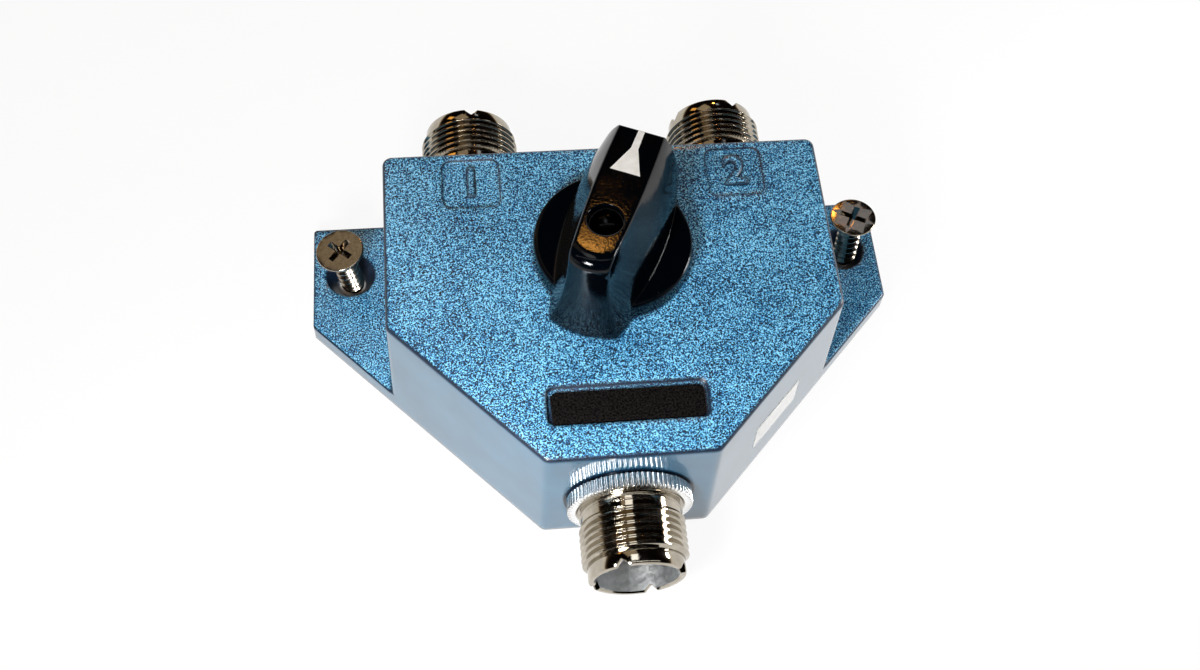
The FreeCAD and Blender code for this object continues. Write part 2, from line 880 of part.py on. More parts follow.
def knob_bar():
    foot = knob_wire(tail_foot, tip_foot, flank_foot_bulge, lambda u: top_z + skirt_gap)
    waist = knob_wire(tail_waist, tip_waist, flank_waist_bulge, lambda u: top_z + waist_height)
    crown = knob_wire(tail_top, tip_top, flank_top_bulge, lambda u: top_z + knob_top(u))
    blank = Part.makeLoft([foot, waist, crown], True, False)
    low_rim = top_z + knob_tip_top_z - knob_edge_radius
    tail_x = tail_top[0] + EPS

    def is_tail_edge(edge):
        return edge.BoundBox.ZMin > low_rim and edge.BoundBox.XMax < tail_x

    def is_crown_edge(edge):
        return edge.BoundBox.ZMin > low_rim and edge.BoundBox.XMax > tail_x + tail_bulge

    bar = rounded(blank, knob_tail_edge_radius, is_tail_edge)
    return rounded(bar, knob_edge_radius, is_crown_edge)


def knob_skirt():
    profile = [
        (0, skirt_gap),
        (skirt_r, skirt_gap),
        (skirt_r, skirt_bevel_z),
        (skirt_top_r, skirt_top_z),
        (skirt_top_r - skirt_land, skirt_top_z),
        (0, skirt_top_z - skirt_dish),
    ]
    skirt = revolve([(r, top_z + z) for r, z in profile])
    rim_z = top_z + skirt_top_z - EPS

    def is_rim(edge):
        return edge.BoundBox.ZMin > rim_z and edge.BoundBox.XMax > skirt_top_r - EPS

    return rounded(skirt, skirt_edge_radius, is_rim)


def mark_prism(z_low, z_high):
    """The pointer mark's shape: a broad arrow head with a line that runs out at the tip."""
    half = [
        (mark_base_u, mark_base_half),
        (mark_neck_u, mark_neck_half),
        (tip_foot[0], mark_tip_half),
    ]
    points = half + [(u, -v) for u, v in reversed(half)]
    corners = [Vector(u, v, top_z + knob_top(u) + z_low) for u, v in points]
    face = Part.Face(Part.makePolygon(corners + corners[:1]))
    return face.extrude(Vector(0, 0, z_high - z_low))


def knob_hollow():
    """Room under the skirt for the bearing's nut."""
    radius = nut_across_flats / math.sqrt(3) + knob_hollow_margin
    return cylinder(radius, top_z - 1, top_z + bushing_above + end_play)


def make_knob():
    shaft_bore = cylinder(shaft_d / 2 + slip, top_z - 1, top_z + shaft_in_knob + slip)
    screw_end = knob_screw_hole_depth + knob_screw_length + slip
    tools = [
        knob_hollow(),
        shaft_bore,
        along_knob_screw(knob_screw_hole_d / 2, -2, knob_screw_hole_depth),
        along_knob_screw(knob_screw_d / 2 + slip, 0, screw_end),
        mark_prism(-mark_depth, 1),
    ]
    return cut(fuse([knob_bar(), knob_skirt()]), tools)


def make_pointer_mark():
    """White inlay that fills the mark, level with the knob's surface."""
    return knob_bar().common(mark_prism(-mark_depth, 1))


def make_knob_screw():
    """Round-headed screw that locks the knob into a notch milled in the shaft."""
    mouth, into = knob_screw_frame()
    head_r = knob_screw_head_d / 2
    dome_r = (head_r ** 2 + knob_screw_head_t ** 2) / (2 * knob_screw_head_t)
    seat = mouth + into * knob_screw_hole_depth
    ball = Part.makeSphere(dome_r, seat + into * (dome_r - knob_screw_head_t))
    head = ball.common(Part.makeCylinder(head_r, knob_screw_head_t + 1, seat, into * -1))
    shank = along_knob_screw(
        knob_screw_d / 2, knob_screw_hole_depth, knob_screw_hole_depth + knob_screw_length
    )
    return fuse([head, shank])


# ---- labels ----
def make_label_plate():
    floor = top_z - label_depth
    plate = rounded_block(
        label_plate_length, label_plate_width, label_plate_radius, floor, floor + label_plate_t
    )
    return moved(plate, 0, label_y - label_plate_shift)


def make_side_label():
    """Thin label on the right-hand diagonal face."""
    nx, ny, distance = diagonal(0.0, side_label_z)
    corner_y = outline(body_half_width, side_label_z)[1][1]
    corner_x = (distance - ny * corner_y) / nx
    sheet = box(
        -side_label_length / 2, side_label_length / 2,
        -side_label_height / 2, side_label_height / 2,
        0, side_label_t,
    )
    sheet = turned(sheet, 90 - draft_deg, Vector(1, 0, 0))
    sheet = turned(sheet, math.degrees(math.atan2(nx, -ny)))
    run = side_label_from_corner
    return moved(sheet, corner_x + ny * run, corner_y - nx * run, side_label_z)


# ---- mounting screws ----
def make_mounting_screw():
    """Self-tapping screw along +Z with its point at the origin."""
    head_r, core_r = screw_head_d / 2, screw_core_d / 2
    cone_top = screw_length - screw_head_rim
    cone_low = cone_top - screw_head_cone
    profile = [
        (0, 0),
        (screw_d / 2, screw_point),
        (screw_d / 2, cone_low - core_r / 2),
        (core_r, cone_low - core_r / 2),
        (core_r, cone_low - core_r / 4),
        (screw_d / 2, cone_low),
        (head_r, cone_top),
        (head_r, screw_length),
        (0, screw_length),
    ]
    half, arm = screw_recess_d / 2, screw_recess_arm / 2
    slot = box(-half, half, -arm, arm, screw_length - screw_recess_depth, screw_length + 1)
    taper = Part.makeCone(arm, half, screw_recess_depth, Vector(0, 0, screw_length - screw_recess_depth))
    rim = cylinder(half, screw_length, screw_length + 1)
    recess = fuse([slot, turned(slot, 90)]).common(taper.fuse(rim))
    return revolve(profile).cut(recess)


def place_mounting_screw(sign, tip, lean):
    """Stands the screw in its hole, tip off the hole's axis and leaning as it was dropped in."""
    axis = Vector(lean[0], lean[1], math.sqrt(1 - lean[0] ** 2 - lean[1] ** 2))
    screw = make_mounting_screw()
    turn = FreeCAD.Rotation(Vector(0, 0, 1), axis)
    screw.Placement = FreeCAD.Placement(Vector(0, 0, 0), turn)
    x = sign * mount_hole_x + tip[0]
    y = mount_hole_y + tip[1]
    return moved(screw, x, y, mount_land + screw_tip_gap)


def at_pointer(shape):
    """Turns a piece built with the pointer along +X to the rest position."""
    return turned(shape, pointer_deg)


def write_fixed_pieces():
    save("housing", make_housing())
    save("bottom_cover", make_bottom_cover())
    save("cover_screws", [make_cover_screw(x, y) for x, y in boss_centres()])
    for name, x, y, turn in port_seats():
        save(name + "_shell", at_port(make_shell(port_notch_deg[name]), x, y, turn))
        save(name + "_lock_ring", at_port(make_lock_ring(), x, y, turn))
        save(name + "_lock_washer", at_port(make_lock_washer(), x, y, turn))
        save(name + "_insulator", at_port(make_insulator(), x, y, turn))
        save(name + "_contact", at_port(make_contact(), x, y, turn))
    half_throw = throw_deg / 2
    clips = [
        ("port_1", blade_arm_r, 90 + half_throw),
        ("port_2", blade_arm_r, 90 - half_throw),
        ("common", blade_disc_r, -90),
    ]
    for name, rim_r, degrees in clips:
        save(name + "_contact_leaves", make_leaves(rim_r, degrees))
    save("contact_rivets", [make_rivet(rim_r, degrees) for _, rim_r, degrees in clips])
    save("port_1_strip", make_port_strip(-1))
    save("port_2_strip", make_port_strip(1))
    save("common_strip", make_common_strip())
    save("shaft_bushing", make_bushing())
    save("bushing_washer", make_bushing_washer())
    save("bushing_nut", make_bushing_nut())
    save("detent_spring", make_detent_spring())
    save("detent_screws", make_detent_screws())
    save("stop_pin", make_stop_pin())
    save("label_plate", make_label_plate())
    save("side_label", make_side_label())


def write_moving_pieces():
    save("knob", at_pointer(make_knob()))
    save("pointer_mark", at_pointer(make_pointer_mark()))
    save("knob_screw", at_pointer(make_knob_screw()))
    save("shaft", at_pointer(make_shaft()))
    save("circlip", at_pointer(make_circlip()))
    save("detent_wheel", make_detent_wheel())
    save("rotor_hub", at_pointer(make_rotor_hub()))
    save("rotor_pin", at_pointer(make_rotor_pin()))
    save("contact_blade", at_pointer(make_contact_blade()))
    save("blade_keeper", at_pointer(make_keeper()))
    save("blade_screws", [at_pointer(s) for s in make_blade_screws()])
    save("left_mounting_screw", place_mounting_screw(-1, left_tip, left_lean))
    save("right_mounting_screw", place_mounting_screw(1, right_tip, right_lean))


os.makedirs("parts", exist_ok=True)
write_fixed_pieces()
write_moving_pieces()
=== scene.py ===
"""Dresses the two-way coaxial antenna switch: paint, plating, threads, knob and marks."""
import math
import bmesh
import bpy
from mathutils import Matrix, Vector


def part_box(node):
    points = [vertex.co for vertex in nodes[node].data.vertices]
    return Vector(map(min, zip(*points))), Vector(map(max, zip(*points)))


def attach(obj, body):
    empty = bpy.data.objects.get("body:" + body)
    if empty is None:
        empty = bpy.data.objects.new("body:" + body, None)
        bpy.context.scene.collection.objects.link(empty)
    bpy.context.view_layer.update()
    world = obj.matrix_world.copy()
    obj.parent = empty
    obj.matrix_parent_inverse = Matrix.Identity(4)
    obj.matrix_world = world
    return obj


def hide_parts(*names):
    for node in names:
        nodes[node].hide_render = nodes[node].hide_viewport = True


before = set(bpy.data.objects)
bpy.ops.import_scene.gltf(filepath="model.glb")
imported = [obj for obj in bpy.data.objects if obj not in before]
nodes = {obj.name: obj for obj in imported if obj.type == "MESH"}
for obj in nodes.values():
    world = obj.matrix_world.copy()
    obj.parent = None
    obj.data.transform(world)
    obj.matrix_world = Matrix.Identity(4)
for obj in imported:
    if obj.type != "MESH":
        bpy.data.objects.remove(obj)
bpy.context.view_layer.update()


# ---- Die-cast case ----
# One zinc casting with two flanges, sprayed with a blue metallic hammer enamel:
# a speckled leaf, partly grain and partly painted glints, on the faces that lie flat, plain on the
# walls. Sizes are in millimetres.
def linear(hex_colour):
    """sRGB hex, such as 2f6a94, as the linear colour that the shaders take."""
    parts = [int(hex_colour[i:i + 2], 16) / 255 for i in (0, 2, 4)]
    curve = [c / 12.92 if c <= 0.04045 else ((c + 0.055) / 1.055) ** 2.4 for c in parts]
    return (*curve, 1.0)


def new_material(name):
    material = bpy.data.materials.new(name)
    material.use_nodes = True
    material.node_tree.nodes.clear()
    return material


def add_node(material, kind, settings=None, links=None):
    """Adds a node, sets its sockets, properties and colour stops, and links the outputs given."""
    node = material.node_tree.nodes.new(kind)
    for name, value in (settings or {}).items():
        if name == "stops":
            elements = node.color_ramp.elements
            while len(elements) < len(value):
                elements.new(0.5)
            for element, (position, colour) in zip(elements, value):
                element.position = position
                element.color = linear(colour)
        elif isinstance(name, int) or name in node.inputs:
            node.inputs[name].default_value = value
        else:
            setattr(node, name, value)
    for name, output in (links or {}).items():
        material.node_tree.links.new(output, node.inputs[name])
    return node


def cad_copy(node):
    """A CAD node's mesh in millimetres, with its loose triangles merged."""
    bm = bmesh.new()
    bm.from_mesh(nodes[node].data)
    bmesh.ops.scale(bm, vec=(1000, 1000, 1000), verts=bm.verts)
    bmesh.ops.remove_doubles(bm, verts=bm.verts, dist=1e-4)
    return bm


SHARP_ANGLE = math.radians(30)


def add_piece(name, bm, body, material, stands_for=()):
    """Makes a bmesh in millimetres into a piece that rides on a body."""
    for face in bm.faces:
        face.smooth = True
    for edge in bm.edges:
        edge.smooth = edge.calc_face_angle(math.pi) < SHARP_ANGLE
    bmesh.ops.scale(bm, vec=(0.001, 0.001, 0.001), verts=bm.verts)
    mesh = bpy.data.meshes.new(name)
    bm.to_mesh(mesh)
    bm.free()
    mesh.materials.append(material)
    piece = bpy.data.objects.new(name, mesh)
    bpy.context.scene.collection.objects.link(piece)
    even = piece.modifiers.new("even_shading", "WEIGHTED_NORMAL")
    even.keep_sharp = True
    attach(piece, body)
    if stands_for:
        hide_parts(*stands_for)
    return piece


LEAF_GRAIN = 0.22
ENAMEL_CLOUD = 9.0
EDGE_SOFTNESS = 1.2
# Reach of the painted shade that darkens corners, in millimetres.
CORNER_SHADE_REACH = 0.9
LEAF_RELIEF = 0.06
GLOSS_RIPPLE = 0.03


def hammer_enamel():
    """Metallic blue hammer enamel: grain with painted glints under a clear gloss on flat faces,
    plain on the walls, and painted shade in dark navy on the rounded edges and in the corners."""
    paint = new_material("hammer_enamel_blue")
    place = add_node(paint, "ShaderNodeTexCoord").outputs["Object"]
    grain = add_node(
        paint, "ShaderNodeTexNoise",
        {"Scale": 1000 / LEAF_GRAIN, "Detail": 1.5, "Roughness": 0.55, "Distortion": 0.5},
        {"Vector": place},
    ).outputs["Fac"]
    cloud = add_node(
        paint, "ShaderNodeTexNoise", {"Scale": 1000 / ENAMEL_CLOUD, "Detail": 2.0},
        {"Vector": place},
    ).outputs["Fac"]
    edge = add_node(
        paint, "ShaderNodeBevel", {"samples": 8, "Radius": EDGE_SOFTNESS / 1000}
    ).outputs["Normal"]
    height = add_node(paint, "ShaderNodeSeparateXYZ", links={"Vector": edge}).outputs["Z"]
    flat = add_node(
        paint, "ShaderNodeMapRange",
        {"interpolation_type": "SMOOTHSTEP", "From Min": 0.82, "From Max": 0.94},
        {"Value": height},
    ).outputs["Result"]
    # Painted shade: where the bevelled normal tilts between upright and steep, the colour turns dark
    # navy, standing for the dark room the rounded edges reflect; the clear gloss thins there too.
    sloping = add_node(
        paint, "ShaderNodeMapRange",
        {"interpolation_type": "SMOOTHSTEP", "From Min": 0.15, "From Max": 0.45},
        {"Value": height},
    ).outputs["Result"]
    # Painted shade: ambient occlusion turns the enamel dark navy in corners, at the foot of steps and
    # round the parts standing on it.
    openness = add_node(
        paint, "ShaderNodeAmbientOcclusion", {"samples": 8, "Distance": CORNER_SHADE_REACH / 1000}
    ).outputs["AO"]
    clear_of_corner_shade = add_node(
        paint, "ShaderNodeMapRange",
        {"interpolation_type": "SMOOTHSTEP", "From Min": 0.60, "From Max": 0.80},
        {"Value": openness},
    ).outputs["Result"]
    drift = add_node(
        paint, "ShaderNodeMapRange",
        {"From Min": 0.3, "From Max": 0.7, "To Min": -0.02, "To Max": 0.02},
        {"Value": cloud},
    ).outputs["Result"]
    tone = add_node(
        paint, "ShaderNodeMath", {"operation": "ADD"}, {0: grain, 1: drift}
    ).outputs["Value"]
    # The leaf is partly the enamel's grain and partly painted glints: its pale cyan flecks stand for
    # light caught by the hammer texture, and show on flat faces only.
    leaf = add_node(
        paint, "ShaderNodeValToRGB",
        {"stops": [(0.41, "000512"), (0.47, "003a6e"), (0.53, "0c8ac8"), (0.60, "98e2ff")]},
        {"Fac": tone},
    ).outputs["Color"]
    wall_tone = add_node(
        paint, "ShaderNodeValToRGB", {"stops": [(0.3, "23536e"), (0.7, "2a5e7a")]}, {"Fac": cloud}
    ).outputs["Color"]
    # Dark navy, grained like the rest, for the painted shade on edges and in corners.
    navy = add_node(
        paint, "ShaderNodeValToRGB", {"stops": [(0.35, "01060f"), (0.65, "0a2644")]}, {"Fac": tone}
    ).outputs["Color"]
    spread = wall_tone
    for share, cover in ((sloping, navy), (flat, leaf)):
        spread = add_node(
            paint, "ShaderNodeMix", {"data_type": "RGBA"}, {0: share, 6: spread, 7: cover}
        ).outputs[2]
    colour = add_node(
        paint, "ShaderNodeMix", {"data_type": "RGBA"}, {0: clear_of_corner_shade, 6: navy, 7: spread}
    ).outputs[2]
    upright = add_node(
        paint, "ShaderNodeMath", {"operation": "SUBTRACT", 0: 1.0}, {1: flat}
    ).outputs["Value"]
    rounding = add_node(
        paint, "ShaderNodeMath", {"operation": "MULTIPLY"}, {0: sloping, 1: upright}
    ).outputs["Value"]
    gloss = add_node(
        paint, "ShaderNodeMapRange",
        {"interpolation_type": "SMOOTHSTEP", "To Min": 1.0, "To Max": 0.15},
        {"Value": rounding},
    ).outputs["Result"]
    depth = add_node(
        paint, "ShaderNodeMath", {"operation": "MULTIPLY", 1: 0.55}, {0: flat}
    ).outputs["Value"]
    relief, ripple = (
        add_node(
            paint, "ShaderNodeBump", {"Distance": deep / 1000},
            {"Strength": depth, "Height": grain, "Normal": edge},
        ).outputs["Normal"]
        for deep in (LEAF_RELIEF, GLOSS_RIPPLE)
    )
    surface = add_node(
        paint, "ShaderNodeBsdfPrincipled",
        {"Metallic": 0.1, "Roughness": 0.42, "Coat Roughness": 0.06, "Coat IOR": 1.6},
        {"Base Color": colour, "Normal": relief, "Coat Weight": gloss, "Coat Normal": ripple},
    )
    add_node(paint, "ShaderNodeOutputMaterial", links={"Surface": surface.outputs["BSDF"]})
    return paint


case_paint = hammer_enamel()
housing_mesh = cad_copy("housing")
add_piece("housing_painted", housing_mesh, "case", case_paint, ["housing"])


# ---- Port numerals ----
# Plain raised figures cast in the two sunken squares on top, under the same enamel:
# 1 on the left for the first rear port and 2 on the right for the second.
TOP_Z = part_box("housing")[1].z * 1000
MARK_Y = 13.6
MARK_DEPTH = 0.35
NUMERAL_HEIGHT = 5.4
NUMERAL_RISE = 0.42
NUMERAL_ROOT = 0.05
NUMERAL_ROUND = 0.09
STROKE_GAIN = 0.16
FIGURE_SHARE = 0.73  # a figure's height as a share of its font's size

for port, figure in (("port_1", "1"), ("port_2", "2")):
    text = bpy.data.curves.new("numeral_" + figure, "FONT")
    text.body = figure
    text.align_x, text.align_y = "CENTER", "CENTER"
    text.size = NUMERAL_HEIGHT / FIGURE_SHARE
    text.offset = STROKE_GAIN
    text.extrude = NUMERAL_RISE / 2
    text.bevel_depth = NUMERAL_ROUND
    text.bevel_resolution = 2
    letter = bpy.data.objects.new("numeral_curve", text)
    bpy.context.scene.collection.objects.link(letter)
    drawn = bpy.data.meshes.new_from_object(letter)
    bpy.data.objects.remove(letter)
    numeral = bmesh.new()
    numeral.from_mesh(drawn)
    bmesh.ops.remove_doubles(numeral, verts=numeral.verts, dist=1e-3)
    low, high = (corner * 1000 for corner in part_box(port + "_shell"))
    middle_z = TOP_Z - MARK_DEPTH + NUMERAL_RISE / 2 - NUMERAL_ROOT
    bmesh.ops.translate(
        numeral, verts=numeral.verts, vec=((low.x + high.x) / 2, MARK_Y, middle_z)
    )
    add_piece(port + "_numeral", numeral, "case", case_paint)


# ---- Bottom cover and its screws ----
# A flat plate let into the underside, in a plainer dark blue enamel, and four
# countersunk steel screws whose heads lie flush with it.
ORANGE_PEEL = 0.8


def smooth_enamel():
    """Flat-sprayed enamel: even blue with soft highlights, broken by a faint orange peel."""
    paint = new_material("smooth_enamel_blue")
    place = add_node(paint, "ShaderNodeTexCoord").outputs["Object"]
    peel = add_node(
        paint, "ShaderNodeTexNoise", {"Scale": 1000 / ORANGE_PEEL, "Detail": 2.0},
        {"Vector": place},
    ).outputs["Fac"]
    colour = add_node(
        paint, "ShaderNodeValToRGB", {"stops": [(0.3, "255c85"), (0.7, "2f6c98")]}, {"Fac": peel}
    ).outputs["Color"]
    bump = add_node(
        paint, "ShaderNodeBump", {"Strength": 0.2, "Distance": 0.00004}, {"Height": peel}
    ).outputs["Normal"]
    surface = add_node(
        paint, "ShaderNodeBsdfPrincipled",
        {"Metallic": 0.3, "Roughness": 0.45, "Coat Weight": 0.5, "Coat Roughness": 0.15},
        {"Base Color": colour, "Normal": bump},
    )
    add_node(paint, "ShaderNodeOutputMaterial", links={"Surface": surface.outputs["BSDF"]})
    return paint


def dress(node, material):
    """Gives a CAD node its material in every slot."""
    mesh = nodes[node].data
    mesh.materials.clear()
    mesh.materials.append(material)


dress("bottom_cover", smooth_enamel())


def plated_metal(name, low, high, roughness, grain_size):
    """Plated or bare metal, its tone and gloss drifting a little over the grain given."""
    metal = new_material(name)
    place = add_node(metal, "ShaderNodeTexCoord").outputs["Object"]
    grain = add_node(
        metal, "ShaderNodeTexNoise",
        {"Scale": 1000 / grain_size, "Detail": 3.0, "Roughness": 0.6}, {"Vector": place},
    ).outputs["Fac"]
    colour = add_node(
        metal, "ShaderNodeValToRGB", {"stops": [(0.3, low), (0.7, high)]}, {"Fac": grain}
    ).outputs["Color"]
    polish = add_node(
        metal, "ShaderNodeMapRange",
        {"From Min": 0.3, "From Max": 0.7, "To Min": roughness * 0.8, "To Max": roughness * 1.25},
        {"Value": grain},
    ).outputs["Result"]
    bump = add_node(
        metal, "ShaderNodeBump", {"Strength": 0.08, "Distance": 0.00002}, {"Height": grain}
    ).outputs["Normal"]
    surface = add_node(
        metal, "ShaderNodeBsdfPrincipled", {"Metallic": 1.0},
        {"Base Color": colour, "Roughness": polish, "Normal": bump},
    )
    add_node(metal, "ShaderNodeOutputMaterial", links={"Surface": surface.outputs["BSDF"]})
    return metal


# Zinc-plated steel: pale grey, with broad soft highlights.
zinc_steel = plated_metal("zinc_plated_steel", "8f9092", "b4b5b3", 0.3, 0.6)
dress("cover_screws", zinc_steel)


# ---- Ports ----
# Three brass connector shells, turned, threaded and bright nickelled. Each is held by
# a knurled ring against the wall, and its nose has four V notches for a plug's teeth.
def lathe(bm, profile, steps):
    """Closed solid of revolution about Z from (radius, z) points in order."""
    ring = [bm.verts.new((radius, 0, z)) for radius, z in profile]
    edges = [bm.edges.new(pair) for pair in zip(ring, ring[1:] + ring[:1])]
    bmesh.ops.spin(
        bm, geom=ring + edges, cent=(0, 0, 0), axis=(0, 0, 1),
        angle=2 * math.pi, steps=steps, use_merge=True,
    )
    bmesh.ops.recalc_face_normals(bm, faces=bm.faces)


def set_radius(vertex, radius):
    here = math.hypot(vertex.co.x, vertex.co.y)
    vertex.co.x *= radius / here
    vertex.co.y *= radius / here


CREST_SHARE = 0.14  # width of a thread's crest and of its root, as shares of the pitch
LEAD_SLOPE = 3.0  # rise of the thread's end chamfers over their length


def thread_sleeve(root_r, crest_r, pitch, z_low, z_high, core_r, steps=96):
    """Closed sleeve with a right-hand V thread between two heights, chamfered at its ends.
    The ridge is spun from below the sleeve to above it, and cut off at both ends."""
    bm = bmesh.new()
    flat = pitch * CREST_SHARE
    flank = pitch / 2 - flat
    chain = [
        (root_r, 0), (root_r, flat / 2), (crest_r, flat / 2 + flank),
        (crest_r, flat * 1.5 + flank), (root_r, pitch - flat / 2), (root_r, pitch),
    ]
    verts = [bm.verts.new((radius, 0, z_low - 1.5 * pitch + z)) for radius, z in chain]
    edges = [bm.edges.new(pair) for pair in zip(verts, verts[1:])]
    turns = math.ceil((z_high - z_low) / pitch + 2)
    bmesh.ops.spin(
        bm, geom=verts + edges, cent=(0, 0, 0), axis=(0, 0, 1),
        dvec=(0, 0, pitch / steps), angle=2 * math.pi * turns, steps=steps * turns,
    )
    bmesh.ops.remove_doubles(bm, verts=bm.verts, dist=1e-4)
    for z, clear in ((z_low, "clear_inner"), (z_high, "clear_outer")):
        bmesh.ops.bisect_plane(
            bm, geom=bm.verts[:] + bm.edges[:] + bm.faces[:], dist=1e-5,
            plane_co=(0, 0, z), plane_no=(0, 0, 1), **{clear: True},
        )
    for vertex in bm.verts:
        from_end = min(vertex.co.z - z_low, z_high - vertex.co.z)
        limit = root_r + max(from_end, 0) * LEAD_SLOPE
        if math.hypot(vertex.co.x, vertex.co.y) > limit:
            set_radius(vertex, limit)
    rims = []
    for z in (z_low, z_high):
        rim = [e for e in bm.edges if e.is_boundary and all(abs(v.co.z - z) < 1e-3 for v in e.verts)]
        grown = bmesh.ops.extrude_edge_only(bm, edges=rim)["geom"]
        for vertex in (g for g in grown if isinstance(g, bmesh.types.BMVert)):
            set_radius(vertex, core_r)
        rims += [g for g in grown if isinstance(g, bmesh.types.BMEdge) and g.is_boundary]
    bmesh.ops.bridge_loops(bm, edges=rims)
    bmesh.ops.recalc_face_normals(bm, faces=bm.faces)
    return bm


SHELL_FOOT = -3.0
BORE_FLOOR = -2.0
RING_TOP = 2.6
BEAD_LOW = 3.65
BEAD_TOP = 3.8
RELIEF_TOP = 4.7
THREAD_TOP = 11.1
NOTCH_FLOOR = 12.2
NOSE_TOP = 13.4
THREAD_R = 15.875 / 2
THREAD_PITCH = 25.4 / 24
THREAD_ROOT_R = THREAD_R - 0.62
NECK_R = 7.5
BEAD_R = 7.72
RELIEF_R = 7.58
SLEEVE_SEAT_R = 7.15
SLEEVE_CORE_R = 7.0
NOSE_R = 7.2
BORE_R = 6.2
LIP_R = 5.0
BREAK = 0.1  # the small broken edges
NOSE_ROUND = 0.35
BORE_CHAMFER = 0.25
NOTCH_DEPTH = 1.15
NOTCH_STEPS = 3
SHELL_STEPS = 124


def shell_bmesh(notch_deg):
    """Shell along +Z from its seat, with the nose notched at notch_deg and each 90 degrees on."""
    bm = bmesh.new()
    lathe(bm, [
        (LIP_R, SHELL_FOOT), (THREAD_R, SHELL_FOOT), (THREAD_R, RING_TOP + BREAK),
        (NECK_R, RING_TOP + 1.5 * BREAK), (NECK_R, BEAD_LOW - BREAK), (BEAD_R, BEAD_LOW),
        (BEAD_R, BEAD_TOP), (RELIEF_R, BEAD_TOP + BREAK), (RELIEF_R, RELIEF_TOP),
        (SLEEVE_SEAT_R, RELIEF_TOP + BREAK), (SLEEVE_SEAT_R, THREAD_TOP - BREAK),
        (NOSE_R, THREAD_TOP), (NOSE_R, NOTCH_FLOOR), (NOSE_R, NOSE_TOP - NOSE_ROUND),
        (NOSE_R - BREAK, NOSE_TOP - BREAK), (NOSE_R - 3 * BREAK, NOSE_TOP),
        (BORE_R + BORE_CHAMFER, NOSE_TOP), (BORE_R, NOSE_TOP - BORE_CHAMFER),
        (BORE_R, NOTCH_FLOOR), (BORE_R, BORE_FLOOR), (LIP_R, BORE_FLOOR),
    ], SHELL_STEPS)
    for face in bm.faces:
        face.material_index = all(math.hypot(v.co.x, v.co.y) < BORE_R + 0.01 for v in face.verts)
    step = 2 * math.pi / SHELL_STEPS
    nose = NOSE_TOP - NOTCH_FLOOR
    for vertex in bm.verts:
        count = round(math.atan2(vertex.co.y, vertex.co.x) / step)
        near = abs((count + SHELL_STEPS // 8) % (SHELL_STEPS // 4) - SHELL_STEPS // 8)
        if vertex.co.z > NOTCH_FLOOR + 1e-3 and near < NOTCH_STEPS:
            sunk = NOTCH_DEPTH * (1 - near / NOTCH_STEPS)
            vertex.co.z = NOTCH_FLOOR + (vertex.co.z - NOTCH_FLOOR) * (nose - sunk) / nose
    thread = thread_sleeve(
        THREAD_ROOT_R, THREAD_R, THREAD_PITCH, RELIEF_TOP, THREAD_TOP, SLEEVE_CORE_R
    )
    sleeve = bpy.data.meshes.new("thread_sleeve")
    thread.to_mesh(sleeve)
    thread.free()
    bm.from_mesh(sleeve)
    bmesh.ops.rotate(
        bm, verts=bm.verts, cent=(0, 0, 0), matrix=Matrix.Rotation(math.radians(notch_deg), 3, "Z")
    )
    return bm


RING_R = 9.4
RING_LOW = 0.4
RING_RIM = 0.4
RING_CHAMFER = 0.35
RING_CLEARANCE = 0.05
RING_TEETH = 74
TOOTH_DEPTH = 0.45
TOOTH_STEPS = 4
FLANK_LEAN = 0.15  # how far a tooth's flank leans into the groove, as a share of a step


def ring_bmesh():
    """Knurled ring along +Z: broad teeth with narrow grooves and chamfered ends."""
    bm = bmesh.new()
    bore_r = THREAD_R + RING_CLEARANCE
    lathe(bm, [
        (bore_r, RING_LOW), (RING_R - 0.1, RING_LOW), (RING_R, RING_LOW + 0.08),
        (RING_R, RING_TOP - 0.15), (RING_R - RING_CHAMFER, RING_TOP),
        (bore_r + 0.25, RING_TOP), (bore_r, RING_TOP - 0.2),
    ], RING_TEETH * TOOTH_STEPS)
    step = 2 * math.pi / (RING_TEETH * TOOTH_STEPS)
    for vertex in bm.verts:
        if math.hypot(vertex.co.x, vertex.co.y) < RING_R - RING_RIM:
            continue
        count = round(math.atan2(vertex.co.y, vertex.co.x) / step) % TOOTH_STEPS
        if count == 0:
            set_radius(vertex, RING_R - TOOTH_DEPTH)
        elif count != 2:
            turn = (-FLANK_LEAN if count == 1 else FLANK_LEAN) * step
            vertex.co = Matrix.Rotation(turn, 3, "Z") @ vertex.co
    return bm


def at_port(bm, port):
    """Turns a piece built along +Z outwards and moves it to its port's seat."""
    low, high = (corner * 1000 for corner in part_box(port + "_lock_washer"))
    facing = Matrix.Rotation(math.pi if port == "common" else 0.0, 4, "Z")
    lying = Matrix.Rotation(-math.pi / 2, 4, "X")
    seat = high.y if port == "common" else low.y
    place = Matrix.Translation(((low.x + high.x) / 2, seat, (low.z + high.z) / 2))
    bm.transform(place @ facing @ lying)
    return bm


NICKEL_BLOOM = 3.0
NICKEL_SPECK = 0.35
WORN_EDGE = 0.06


